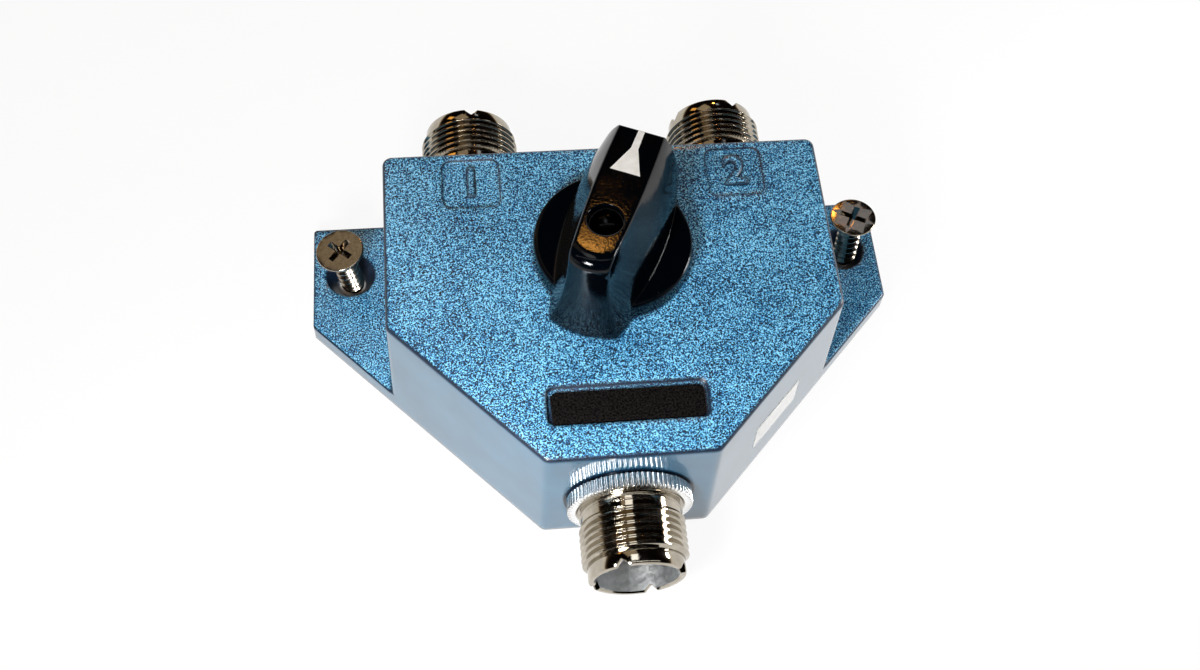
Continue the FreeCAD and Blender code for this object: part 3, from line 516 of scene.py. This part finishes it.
def bright_nickel(name, low, high, roughness, groove_reach, groove_shade_colour):
    """Bright nickel over turned brass: a mirror with a faint bloom and fine specks, its
    edges rounded by wear, and painted shade darkening its grooves to the colour given."""
    metal = new_material(name)
    place = add_node(metal, "ShaderNodeTexCoord").outputs["Object"]
    bloom = add_node(
        metal, "ShaderNodeTexNoise", {"Scale": 1000 / NICKEL_BLOOM, "Detail": 3.0},
        {"Vector": place},
    ).outputs["Fac"]
    speck = add_node(
        metal, "ShaderNodeTexNoise", {"Scale": 1000 / NICKEL_SPECK, "Detail": 2.0},
        {"Vector": place},
    ).outputs["Fac"]
    plating = add_node(
        metal, "ShaderNodeValToRGB", {"stops": [(0.3, low), (0.7, high)]}, {"Fac": bloom}
    ).outputs["Color"]
    # Painted shade: in the thread and knurl grooves, where ambient occlusion finds shade, the plating
    # turns to the dark colour given.
    openness = add_node(
        metal, "ShaderNodeAmbientOcclusion",
        {"samples": 8, "Distance": groove_reach / 1000, "only_local": True},
    ).outputs["AO"]
    clear_of_grooves = add_node(
        metal, "ShaderNodeMapRange",
        {"interpolation_type": "SMOOTHSTEP", "From Min": 0.35, "From Max": 0.70},
        {"Value": openness},
    ).outputs["Result"]
    colour = add_node(
        metal, "ShaderNodeMix", {"data_type": "RGBA", 6: linear(groove_shade_colour)},
        {0: clear_of_grooves, 7: plating},
    ).outputs[2]
    polish = add_node(
        metal, "ShaderNodeMapRange",
        {"From Min": 0.35, "From Max": 0.7, "To Min": roughness, "To Max": roughness * 2.5},
        {"Value": bloom},
    ).outputs["Result"]
    worn = add_node(
        metal, "ShaderNodeBevel", {"samples": 6, "Radius": WORN_EDGE / 1000}
    ).outputs["Normal"]
    bump = add_node(
        metal, "ShaderNodeBump", {"Strength": 0.25, "Distance": 0.00002},
        {"Height": speck, "Normal": worn},
    ).outputs["Normal"]
    surface = add_node(
        metal, "ShaderNodeBsdfPrincipled", {"Metallic": 1.0},
        {"Base Color": colour, "Roughness": polish, "Normal": bump},
    )
    add_node(metal, "ShaderNodeOutputMaterial", links={"Surface": surface.outputs["BSDF"]})
    return metal


# The last colour of each is the painted shade in its grooves.
nickel = bright_nickel("bright_nickel_shell", "a39b8c", "bdb5a7", 0.05, 0.3, "4a443a")
ring_nickel = bright_nickel("bright_nickel_ring", "f0efec", "ffffff", 0.12, 0.6, "201e1e")
# Satin nickel in the bores: pale, without a mirror image.
satin_nickel = plated_metal("satin_nickel_bore", "c4c7c9", "dadcdd", 0.38, 0.6)
# Black oxide on steel: near black with a low oily gloss.
black_oxide = plated_metal("black_oxide_steel", "121214", "1e1e20", 0.18, 0.4)
for port, notch_deg in (("port_1", 5.0), ("port_2", 25.0), ("common", 22.0)):
    shell = at_port(shell_bmesh(notch_deg), port)
    piece = add_piece(port + "_threaded_shell", shell, "case", nickel, [port + "_shell"])
    piece.data.materials.append(satin_nickel)
    ring = at_port(ring_bmesh(), port)
    add_piece(port + "_knurled_ring", ring, "case", ring_nickel, [port + "_lock_ring"])
    # The washers' near black is partly painted shade: it also darkens the gap behind each ring.
    dress(port + "_lock_washer", black_oxide)


# ---- Insulators and centre contacts ----
# Turned PTFE discs hold silver-plated brass sockets, slotted in four, whose tails
# reach inside the case.
PLASTIC_CLOUD = 1.5


def plain_plastic(name, low, high, roughness):
    """Machined or moulded plastic: even and soft, with a faint cloud."""
    plastic = new_material(name)
    place = add_node(plastic, "ShaderNodeTexCoord").outputs["Object"]
    cloud = add_node(
        plastic, "ShaderNodeTexNoise", {"Scale": 1000 / PLASTIC_CLOUD, "Detail": 3.0},
        {"Vector": place},
    ).outputs["Fac"]
    colour = add_node(
        plastic, "ShaderNodeValToRGB", {"stops": [(0.3, low), (0.7, high)]}, {"Fac": cloud}
    ).outputs["Color"]
    bump = add_node(
        plastic, "ShaderNodeBump", {"Strength": 0.1, "Distance": 0.00003}, {"Height": cloud}
    ).outputs["Normal"]
    surface = add_node(
        plastic, "ShaderNodeBsdfPrincipled", {"Roughness": roughness, "IOR": 1.4},
        {"Base Color": colour, "Normal": bump},
    )
    add_node(plastic, "ShaderNodeOutputMaterial", links={"Surface": surface.outputs["BSDF"]})
    return plastic


# Turned PTFE: milky white and waxy. Silver plate: warm white with a soft mirror.
ptfe = plain_plastic("turned_ptfe", "dcd8cd", "ebe8df", 0.4)
silver_plate = plated_metal("silver_plated_brass", "b9b3a6", "d8d4c8", 0.22, 0.5)
for port in ("port_1", "port_2", "common"):
    dress(port + "_insulator", ptfe)
    dress(port + "_contact", silver_plate)
    dress(port + "_contact_leaves", silver_plate)


# ---- Contact set and rotor ----
# Rolled brass strips run to riveted spring leaves. A moulded hub on the shaft carries
# the silvered blade that joins the common port to port 1 or 2.
# Rolled brass: yellow, half bright.
brass = plated_metal("rolled_brass", "b08d45", "c9a65c", 0.28, 0.8)
for part in ("port_1_strip", "port_2_strip", "common_strip", "contact_rivets", "blade_keeper"):
    dress(part, brass)
dress("contact_blade", silver_plate)
dress("blade_screws", zinc_steel)
# Moulded phenolic without polish: dark brown, dull.
dress("rotor_hub", plain_plastic("moulded_phenolic", "3a2417", "4a3020", 0.45))


# ---- Shaft, bearing and detent ----
# Ground steel shaft in a nickelled bearing, with its nut and washer on top of the case,
# a snap ring, the notched wheel and the flat spring that holds it.
# Ground steel: bright grey. Spring steel: darker and blued by its hardening.
shaft_steel = plated_metal("ground_steel", "9a9b9d", "b8b9ba", 0.2, 0.4)
spring_steel = plated_metal("blue_spring_steel", "5b6068", "787c84", 0.3, 0.5)
for part in ("shaft", "rotor_pin", "stop_pin", "detent_screws", "bushing_nut"):
    dress(part, shaft_steel)
for part in ("circlip", "detent_spring", "bushing_washer"):
    dress(part, spring_steel)
dress("shaft_bushing", nickel)
# Moulded acetal: ivory with a low sheen.
dress("detent_wheel", plain_plastic("moulded_acetal", "c9c5b8", "d9d5c9", 0.35))


# ---- Knob ----
# Moulded phenolic pointer bar on a round skirt, polished black, with a little dust and
# fine scuffs on its gloss.
DUST_SPACING = 1.1
DUST_PATCH = 6.0
FINE_SCUFF = 0.4
KNOB_EDGE = 0.4
SLICE_LOW = 28.9
SLICE_STEP = 0.4
SLICES = 37


def polished_phenolic():
    """Polished black phenolic: deep gloss with patches of dust specks 0.15 mm across."""
    black = new_material("polished_phenolic_black")
    place = add_node(black, "ShaderNodeTexCoord").outputs["Object"]
    dust = add_node(
        black, "ShaderNodeTexVoronoi", {"Scale": 1000 / DUST_SPACING, "Randomness": 1.0},
        {"Vector": place},
    ).outputs["Distance"]
    spots = add_node(
        black, "ShaderNodeMapRange",
        {"From Min": 0.02, "From Max": 0.07, "To Min": 1.0, "To Max": 0.0}, {"Value": dust},
    ).outputs["Result"]
    patch = add_node(
        black, "ShaderNodeTexNoise", {"Scale": 1000 / DUST_PATCH, "Detail": 2.0},
        {"Vector": place},
    ).outputs["Fac"]
    where = add_node(
        black, "ShaderNodeMapRange", {"From Min": 0.5, "From Max": 0.62}, {"Value": patch}
    ).outputs["Result"]
    dusty = add_node(
        black, "ShaderNodeMath", {"operation": "MULTIPLY"}, {0: spots, 1: where}
    ).outputs["Value"]
    colour = add_node(
        black, "ShaderNodeValToRGB", {"stops": [(0.0, "010306"), (1.0, "4a4640")]}, {"Fac": dusty}
    ).outputs["Color"]
    haze = add_node(
        black, "ShaderNodeMapRange",
        {"From Min": 0.3, "From Max": 0.7, "To Min": 0.05, "To Max": 0.10}, {"Value": patch},
    ).outputs["Result"]
    edge = add_node(
        black, "ShaderNodeBevel", {"samples": 8, "Radius": KNOB_EDGE / 1000}
    ).outputs["Normal"]
    scuff = add_node(
        black, "ShaderNodeTexNoise", {"Scale": 1000 / FINE_SCUFF, "Detail": 3.0},
        {"Vector": place},
    ).outputs["Fac"]
    bump = add_node(
        black, "ShaderNodeBump", {"Strength": 0.4, "Distance": 0.00003},
        {"Height": scuff, "Normal": edge},
    ).outputs["Normal"]
    surface = add_node(
        black, "ShaderNodeBsdfPrincipled", {"IOR": 1.5, "Specular IOR Level": 0.22},
        {"Base Color": colour, "Roughness": haze, "Normal": bump},
    )
    add_node(black, "ShaderNodeOutputMaterial", links={"Surface": surface.outputs["BSDF"]})
    return black


# The slices keep the shading of the tall moulded faces smooth.
knob_mesh = cad_copy("knob")
for level in range(SLICES):
    bmesh.ops.bisect_plane(
        knob_mesh, geom=knob_mesh.verts[:] + knob_mesh.edges[:] + knob_mesh.faces[:], dist=1e-4,
        plane_co=(0, 0, SLICE_LOW + level * SLICE_STEP), plane_no=(0, 0, 1),
    )
add_piece("knob_moulding", knob_mesh, "rotor", polished_phenolic(), ["knob"])


# ---- Pointer mark ----
# White filler wiped into the arrow-shaped groove on the knob, level with its surface.
FILLER_DRIFT = 1.2


def white_filler():
    """Wiped filler: matt warm white, a little uneven."""
    filler = new_material("white_filler")
    place = add_node(filler, "ShaderNodeTexCoord").outputs["Object"]
    drift = add_node(
        filler, "ShaderNodeTexNoise", {"Scale": 1000 / FILLER_DRIFT, "Detail": 3.0},
        {"Vector": place},
    ).outputs["Fac"]
    colour = add_node(
        filler, "ShaderNodeValToRGB", {"stops": [(0.3, "ecebe6"), (0.7, "fbfbf8")]},
        {"Fac": drift},
    ).outputs["Color"]
    surface = add_node(
        filler, "ShaderNodeBsdfPrincipled", {"Roughness": 0.5}, {"Base Color": colour}
    )
    add_node(filler, "ShaderNodeOutputMaterial", links={"Surface": surface.outputs["BSDF"]})
    return filler


arrow = cad_copy("pointer_mark")
add_piece("pointer_filler", arrow, "rotor", white_filler(), ["pointer_mark"])


# ---- Knob screw ----
# Blackened round-headed screw at the bottom of the slanting hole on the knob's top.
clamp = cad_copy("knob_screw")
add_piece("knob_screw_blackened", clamp, "rotor", black_oxide, ["knob_screw"])


# ---- Labels ----
# A thin black plate set in the recess at the front of the top, and a bare white paper
# label on the right-hand diagonal wall.
LACQUER_SPECK = 0.3
PAPER_FIBRE = 0.6


def black_lacquer():
    """Black lacquer on a thin plate: glossy, with a fine grey speckle."""
    lacquer = new_material("black_lacquered_plate")
    place = add_node(lacquer, "ShaderNodeTexCoord").outputs["Object"]
    speck = add_node(
        lacquer, "ShaderNodeTexNoise", {"Scale": 1000 / LACQUER_SPECK, "Detail": 2.0},
        {"Vector": place},
    ).outputs["Fac"]
    colour = add_node(
        lacquer, "ShaderNodeValToRGB", {"stops": [(0.35, "060606"), (0.7, "1c1a19")]},
        {"Fac": speck},
    ).outputs["Color"]
    bump = add_node(
        lacquer, "ShaderNodeBump", {"Strength": 0.15, "Distance": 0.00003}, {"Height": speck}
    ).outputs["Normal"]
    surface = add_node(
        lacquer, "ShaderNodeBsdfPrincipled", {"Roughness": 0.12, "Specular IOR Level": 0.15},
        {"Base Color": colour, "Normal": bump},
    )
    add_node(lacquer, "ShaderNodeOutputMaterial", links={"Surface": surface.outputs["BSDF"]})
    return lacquer


def label_paper():
    """Coated paper: plain white with a soft gloss and a trace of fibre."""
    paper = new_material("coated_label_paper")
    place = add_node(paper, "ShaderNodeTexCoord").outputs["Object"]
    fibre = add_node(
        paper, "ShaderNodeTexNoise", {"Scale": 1000 / PAPER_FIBRE, "Detail": 4.0},
        {"Vector": place},
    ).outputs["Fac"]
    colour = add_node(
        paper, "ShaderNodeValToRGB", {"stops": [(0.3, "e9e9e6"), (0.7, "f7f7f5")]},
        {"Fac": fibre},
    ).outputs["Color"]
    surface = add_node(
        paper, "ShaderNodeBsdfPrincipled", {"Roughness": 0.45}, {"Base Color": colour}
    )
    add_node(paper, "ShaderNodeOutputMaterial", links={"Surface": surface.outputs["BSDF"]})
    return paper


dress("label_plate", black_lacquer())
dress("side_label", label_paper())


# ---- Mounting screws ----
# Two nickelled self-tapping screws with cross-recessed countersunk heads, standing
# loose in the flange holes and leaning as they were dropped in.
SCREW_LENGTH = 13.0
SCREW_R = 1.95
SCREW_CORE_R = 1.4
SCREW_PITCH = 1.4
SCREW_POINT = 2.4
SCREW_STEPS = 48
THREAD_START = 0.35
THREAD_STOP = 0.4  # from the thread's end to the head's cone
THREAD_INNER_R = 0.1
HEAD_R = 3.8
HEAD_RIM = 0.35
HEAD_ROUND = 0.2
HEAD_CONE = 1.9
HEAD_STEPS = 64
ROUND_STEPS = 4
RECESS_SPAN = 2.2
RECESS_ARM = 0.48
RECESS_WALLS = ((0.80, 0.5), (0.45, 1.6))  # the cross's shrink at each depth


def screw_bmesh():
    """Screw along +Z with its point at the origin."""
    cone_top = SCREW_LENGTH - HEAD_RIM
    cone_low = cone_top - HEAD_CONE
    bm = thread_sleeve(
        SCREW_CORE_R, SCREW_R, SCREW_PITCH, THREAD_START, cone_low - THREAD_STOP,
        THREAD_INNER_R, steps=SCREW_STEPS,
    )
    for vertex in bm.verts:
        if vertex.co.z < SCREW_POINT:
            taper = (vertex.co.z / SCREW_POINT) ** 0.5
            vertex.co.x *= taper
            vertex.co.y *= taper
    profile = [
        (0.0, cone_low - 1.0), (SCREW_CORE_R, cone_low - 1.0), (SCREW_CORE_R, cone_low - 0.25),
        (SCREW_R * 0.9, cone_low), (HEAD_R, cone_top),
    ]
    for part in range(ROUND_STEPS + 1):
        turn = math.pi / 2 * part / ROUND_STEPS
        profile.append((
            HEAD_R - HEAD_ROUND * (1 - math.cos(turn)),
            SCREW_LENGTH - HEAD_ROUND * (1 - math.sin(turn)),
        ))
    chain = [bm.verts.new((radius, 0, z)) for radius, z in profile]
    edges = [bm.edges.new(pair) for pair in zip(chain, chain[1:])]
    bmesh.ops.spin(
        bm, geom=chain + edges, cent=(0, 0, 0), axis=(0, 0, 1),
        angle=2 * math.pi, steps=HEAD_STEPS, use_merge=True,
    )
    bmesh.ops.remove_doubles(bm, verts=bm.verts, dist=1e-4)
    rim = [e for e in bm.edges if all(abs(v.co.z - SCREW_LENGTH) < 1e-4 for v in e.verts)]
    cross = []
    for quarter in range(4):
        turn = Matrix.Rotation(quarter * math.pi / 2, 3, "Z")
        for x, y in ((RECESS_ARM, RECESS_ARM), (RECESS_ARM, RECESS_SPAN), (-RECESS_ARM, RECESS_SPAN)):
            cross.append(bm.verts.new(turn @ Vector((x, y, SCREW_LENGTH))))
    lips = [bm.edges.new(pair) for pair in zip(cross, cross[1:] + cross[:1])]
    bmesh.ops.triangle_fill(bm, use_beauty=True, edges=rim + lips)
    for shrink, depth in RECESS_WALLS:
        grown = bmesh.ops.extrude_edge_only(bm, edges=lips)["geom"]
        lips = [g for g in grown if isinstance(g, bmesh.types.BMEdge) and g.is_boundary]
        for vertex in (g for g in grown if isinstance(g, bmesh.types.BMVert)):
            vertex.co = Vector((vertex.co.x * shrink, vertex.co.y * shrink, SCREW_LENGTH - depth))
    bmesh.ops.contextual_create(bm, geom=lips)
    bmesh.ops.recalc_face_normals(bm, faces=bm.faces)
    return bm


def stand_screw(bm, node, lean, spin_deg):
    """Leans the screw and stands its point where the CAD screw has its own."""
    axis = Vector((lean[0], lean[1], math.sqrt(1 - lean[0] ** 2 - lean[1] ** 2)))
    turn = Vector((0, 0, 1)).rotation_difference(axis).to_matrix().to_4x4()
    low, high = (corner * 1000 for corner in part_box(node))
    head = HEAD_R * Vector([math.sqrt(1 - a * a) for a in axis])
    middle = axis * SCREW_LENGTH
    reach = Vector([max(0, middle[i] + head[i]) for i in range(3)])
    tip = Vector((high.x - reach.x, high.y - reach.y, low.z))
    bm.transform(
        Matrix.Translation(tip) @ turn @ Matrix.Rotation(math.radians(spin_deg), 4, "Z")
    )
    return bm


# Nickelled steel: warm grey, half bright.
screw_nickel = plated_metal("nickelled_steel", "8d8579", "aaa295", 0.16, 0.5)
for side, lean, spin_deg in (("left", (-0.101, -0.010), 50.0), ("right", (-0.034, 0.089), 60.0)):
    node = side + "_mounting_screw"
    screw = stand_screw(screw_bmesh(), node, lean, spin_deg)
    add_piece(node + "_threaded", screw, side + "_screw", screw_nickel, [node])


# ---- Studio ----
# White floor and sky for the camera. Gloss sees a white horizon that is dark to the front,
# a dark room above it, soft boxes and a flash, and warm and grey cards behind the object.
FLOOR_R = 4.0
HOLE_PLACE = (0.0416155, 0.0109, 0.0)  # in metres, mirrored for the left one
HOLE_R = 0.004


def floor_material():
    """White paper, lifted to plain white for the camera except under the flange holes,
    and bright in the object's gloss except for its front end."""
    floor = new_material("white_floor")
    path = add_node(floor, "ShaderNodeLightPath")
    shade = add_node(floor, "ShaderNodeBsdfDiffuse", {"Color": linear("f2f2f2")})
    white = add_node(floor, "ShaderNodeEmission", {"Strength": 1.0})
    lit = add_node(
        floor, "ShaderNodeMath", {"operation": "MULTIPLY", 1: 0.92},
        {0: path.outputs["Is Camera Ray"]},
    )
    place = add_node(floor, "ShaderNodeTexCoord").outputs["Object"]
    along = add_node(floor, "ShaderNodeSeparateXYZ", links={"Vector": place}).outputs
    sheet = add_node(
        floor, "ShaderNodeMapRange",
        {"interpolation_type": "SMOOTHSTEP", "From Min": -0.16, "From Max": -0.11, "To Max": 0.9},
        {"Value": along["Y"]},
    )
    seen = add_node(
        floor, "ShaderNodeMath", {"operation": "MULTIPLY"},
        {0: path.outputs["Is Glossy Ray"], 1: sheet.outputs["Result"]},
    )
    side = add_node(floor, "ShaderNodeMath", {"operation": "ABSOLUTE"}, {0: along["X"]})
    mirrored = add_node(
        floor, "ShaderNodeCombineXYZ", links={"X": side.outputs["Value"], "Y": along["Y"]}
    )
    from_hole = add_node(
        floor, "ShaderNodeVectorMath", {"operation": "DISTANCE", 1: HOLE_PLACE},
        {0: mirrored.outputs["Vector"]},
    )
    clear = add_node(
        floor, "ShaderNodeMath", {"operation": "GREATER_THAN", 1: HOLE_R},
        {0: from_hole.outputs["Value"]},
    )
    bright = add_node(
        floor, "ShaderNodeMath", {"operation": "MAXIMUM"},
        {0: seen.outputs["Value"], 1: lit.outputs["Value"]},
    )
    share = add_node(
        floor, "ShaderNodeMath", {"operation": "MULTIPLY"},
        {0: bright.outputs["Value"], 1: clear.outputs["Value"]},
    )
    mixed = add_node(
        floor, "ShaderNodeMixShader",
        links={0: share.outputs["Value"], 1: shade.outputs["BSDF"], 2: white.outputs["Emission"]},
    )
    add_node(floor, "ShaderNodeOutputMaterial", links={"Surface": mixed.outputs["Shader"]})
    return floor


floor_mesh = bpy.data.meshes.new("floor")
floor_bm = bmesh.new()
bmesh.ops.create_circle(floor_bm, cap_ends=True, segments=64, radius=FLOOR_R)
floor_bm.to_mesh(floor_mesh)
floor_bm.free()
floor_mesh.materials.append(floor_material())
floor = bpy.data.objects.new("floor", floor_mesh)
bpy.context.scene.collection.objects.link(floor)

world = bpy.data.worlds.new("white_room")
bpy.context.scene.world = world
world.use_nodes = True
world.node_tree.nodes.clear()
path = add_node(world, "ShaderNodeLightPath")
towards = add_node(world, "ShaderNodeTexCoord").outputs["Generated"]
heading = add_node(world, "ShaderNodeSeparateXYZ", links={"Vector": towards}).outputs
room = add_node(
    world, "ShaderNodeValToRGB",
    {"stops": [
        (0.0, "ffffff"), (0.13, "efe6d8"), (0.19, "4a3826"), (0.30, "140d08"), (0.6, "080504"),
    ]},
    {"Fac": heading["Z"]},
)
front_end = add_node(
    world, "ShaderNodeMapRange",
    {"interpolation_type": "SMOOTHSTEP", "From Min": -0.75, "From Max": -0.5, "To Min": 0.04},
    {"Value": heading["Y"]},
)
soft = add_node(world, "ShaderNodeBackground", {"Color": (1, 1, 1, 1), "Strength": 0.05})
mirror = add_node(
    world, "ShaderNodeBackground",
    links={"Color": room.outputs["Color"], "Strength": front_end.outputs["Result"]},
)
white = add_node(world, "ShaderNodeBackground", {"Color": (1, 1, 1, 1), "Strength": 1.0})
glossy = add_node(
    world, "ShaderNodeMixShader",
    links={0: path.outputs["Is Glossy Ray"], 1: soft.outputs[0], 2: mirror.outputs[0]},
)
seen = add_node(
    world, "ShaderNodeMixShader",
    links={0: path.outputs["Is Camera Ray"], 1: glossy.outputs[0], 2: white.outputs[0]},
)
add_node(world, "ShaderNodeOutputWorld", links={"Surface": seen.outputs[0]})


def add_lamp(name, place, aim, size, power, colour="ffffff"):
    """Rectangular lamp at a place in metres, turned to its aim and unseen by the camera."""
    light = bpy.data.lights.new(name, "AREA")
    light.shape = "RECTANGLE"
    light.size, light.size_y = size
    light.energy = power
    light.color = linear(colour)[:3]
    lamp = bpy.data.objects.new(name, light)
    lamp.location = place
    lamp.rotation_mode = "QUATERNION"
    lamp.rotation_quaternion = (Vector(aim) - Vector(place)).to_track_quat("-Z", "Y")
    lamp.visible_camera = False
    bpy.context.scene.collection.objects.link(lamp)


add_lamp("overhead_box", (-0.05, 0.045, 0.40), (-0.05, 0.045, 0), (0.11, 0.16), 0.12)
add_lamp("ceiling_tube", (0, -0.10, 0.40), (0, -0.10, 0), (1.0, 0.03), 0.20)
add_lamp("flash", (-0.055, -0.097, 0.102), (0, -0.06, 0), (0.04, 0.03), 0.31)
add_lamp("side_box", (0.15, 0.01, 0.055), (0.043, 0.01, 0.003), (0.04, 0.02), 0.13)
add_lamp("gold_card", (-0.47, 0.47, 0.45), (0, 0, 0.02), (0.12, 0.20), 0.16, "e8a850")
add_lamp("warm_card", (0.080, 0.398, 0.40), (0.080, 0.398, 0), (0.046, 0.03), 0.18, "ffb050")
add_lamp("brown_card", (-0.158, 0.296, 0.497), (0, 0, 0.02), (0.25, 0.25), 0.15, "c8b496")
add_lamp("grey_card", (0.15, 0.35, 0.40), (0.15, 0.35, 0), (0.06, 0.08), 0.018, "b8c4d4")

# The camera stands high in front, a little to the left, with a small roll.
FRAME_WIDTH, FRAME_HEIGHT = 1200, 670
FOCAL_PIXELS = 1403.732
CENTRE_X, CENTRE_Y = 630.492, 326.293
CAMERA_PLACE = Vector((-0.019742, -0.111218, 0.206991))
CAMERA_AIM = Vector((0.004396, 0.000071, 0.0))
CAMERA_ROLL = 7.437
lens = bpy.data.cameras.new("camera")
lens.sensor_width = 36.0
lens.lens = FOCAL_PIXELS / FRAME_WIDTH * lens.sensor_width
lens.shift_x = (FRAME_WIDTH / 2 - CENTRE_X) / FRAME_WIDTH
lens.shift_y = (CENTRE_Y - FRAME_HEIGHT / 2) / FRAME_WIDTH
lens.clip_start = 0.01
camera = bpy.data.objects.new("camera", lens)
camera.location = CAMERA_PLACE
camera.rotation_mode = "QUATERNION"
looking = (CAMERA_AIM - CAMERA_PLACE).to_track_quat("-Z", "Y")
roll = Matrix.Rotation(math.radians(CAMERA_ROLL), 3, "Z").to_quaternion()
camera.rotation_quaternion = looking @ roll
bpy.context.scene.collection.objects.link(camera)
bpy.context.scene.camera = camera
bpy.context.scene.view_settings.view_transform = "Standard"
